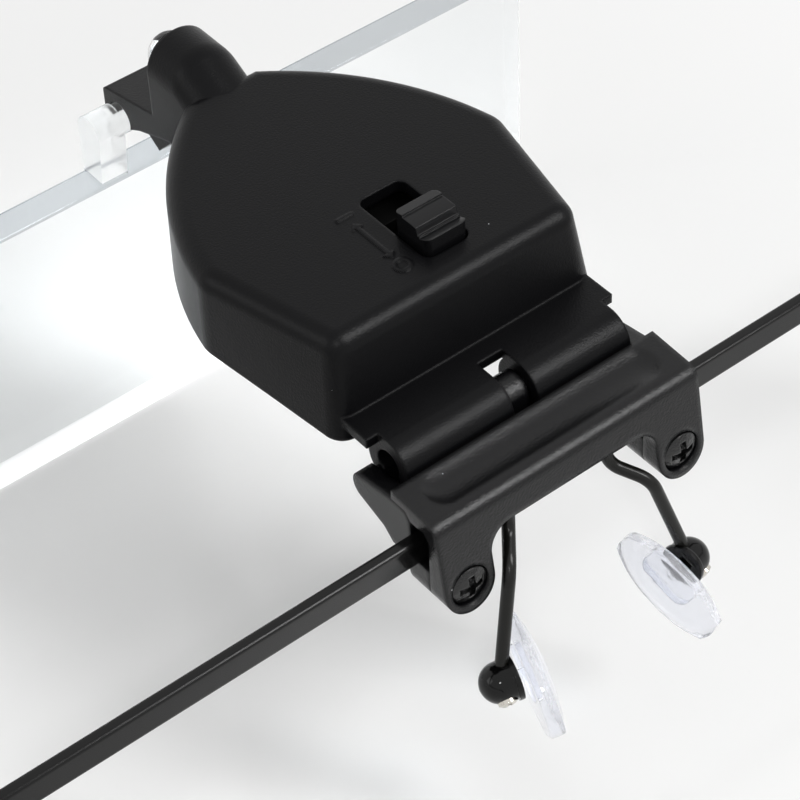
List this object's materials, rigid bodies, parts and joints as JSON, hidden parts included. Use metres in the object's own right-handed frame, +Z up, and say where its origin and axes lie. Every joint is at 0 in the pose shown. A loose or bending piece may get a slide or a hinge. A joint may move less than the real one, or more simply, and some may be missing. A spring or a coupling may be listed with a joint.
{
  "type": "led magnifying glasses",
  "caption": "Head-worn magnifier: frame with folding temples and nose pads, a flip-up lamp housing with a slide switch, and a clear rectangular lens on a tilting snap joint.",
  "frame": {"origin": "on the surface that the lens's lower edge and the temple tips stand on, under the middle of the object's box", "axes": "+X to the wearer's right, +Y forward from the temples to the lens, +Z up"},
  "size_m": [0.1358, 0.2051, 0.0546],
  "materials": {
    "bar_coat": "gloss",
    "frame_coat": "satin",
    "clamp": "satin, finely grained",
    "housing": "matte, finely grained",
    "knob": "matte",
    "collar": "gloss",
    "switch": "matte",
    "black_screw": "black oxide",
    "steel": "plain",
    "bright_screw": "nickel plated",
    "cell": "brushed",
    "contact": "plain",
    "resistor": "gloss",
    "led": "clear, water white",
    "lens": "clear acrylic",
    "pad": "clear silicone",
    "insert": "plain",
    "pad_box": "gloss",
    "sleeve": "matte"
  },
  "bodies": {
    "frame": {"brow_bar": "bar_coat", "clamp_rear": "clamp", "clamp_front": "clamp", "clamp_screw_left": "black_screw", "clamp_screw_right": "black_screw", "hinge_pin": "steel", "nose_wire_left": "frame_coat", "nose_wire_right": "frame_coat", "pad_box_left": "pad_box", "pad_box_right": "pad_box", "pad_screw_left": "bright_screw", "pad_screw_right": "bright_screw", "end_hinge_left": "frame_coat", "end_hinge_right": "frame_coat", "temple_screw_left": "steel", "temple_screw_right": "steel"},
    "lamp": {"lamp_housing": "housing", "lamp_base": "housing", "base_screw_left": "steel", "base_screw_right": "steel", "battery_door": "housing", "door_screw": "steel", "cell_upper": "cell", "cell_lower": "cell", "contact_top": "contact", "contact_bottom": "contact", "switch_body": "switch", "lead_strip": "contact", "resistor": "resistor", "led": "led", "led_collar": "collar"},
    "switch_slider": {"switch_knob": "knob"},
    "lens": {"lens_plate": "lens"},
    "temple_left": {"temple_arm_left": "frame_coat", "temple_tip_left": "sleeve"},
    "nose_pad_left": {"nose_pad_left": "pad", "pad_insert_left": "insert"},
    "temple_right": {"temple_arm_right": "frame_coat", "temple_tip_right": "sleeve"},
    "nose_pad_right": {"nose_pad_right": "pad", "pad_insert_right": "insert"}
  },
  "joints": [
    {"name": "lamp_flip", "type": "hinge", "parent": "frame", "child": "lamp", "pos_m": [0, 0.0418, 0.0405], "axis": [1, 0, 0], "range_deg": [-12, 90]},
    {"name": "lens_tilt", "type": "hinge", "parent": "lamp", "child": "lens", "pos_m": [0, 0.09995, 0.0408], "axis": [1, 0, 0], "range_deg": [-45, 60]},
    {"name": "switch_slide", "type": "slide", "parent": "lamp", "child": "switch_slider", "axis": [0, 1, 0], "range_m": [0, 0.0053]},
    {"name": "temple_left_fold", "type": "hinge", "parent": "frame", "child": "temple_left", "pos_m": [-0.06415, 0.0257, 0.0363], "axis": [0, 0, 1], "range_deg": [0, 90]},
    {"name": "temple_right_fold", "type": "hinge", "parent": "frame", "child": "temple_right", "pos_m": [0.06415, 0.0257, 0.0363], "axis": [0, 0, -1], "range_deg": [0, 84]},
    {"name": "nose_pad_left_rock", "type": "hinge", "parent": "frame", "child": "nose_pad_left", "pos_m": [-0.0122, 0.02795, 0.0204], "axis": [-0.1943, -0.8283, -0.5255], "range_deg": [-12, 12]},
    {"name": "nose_pad_right_rock", "type": "hinge", "parent": "frame", "child": "nose_pad_right", "pos_m": [0.0122, 0.02795, 0.0204], "axis": [0.1943, -0.8283, -0.5255], "range_deg": [-12, 12]}
  ]
}
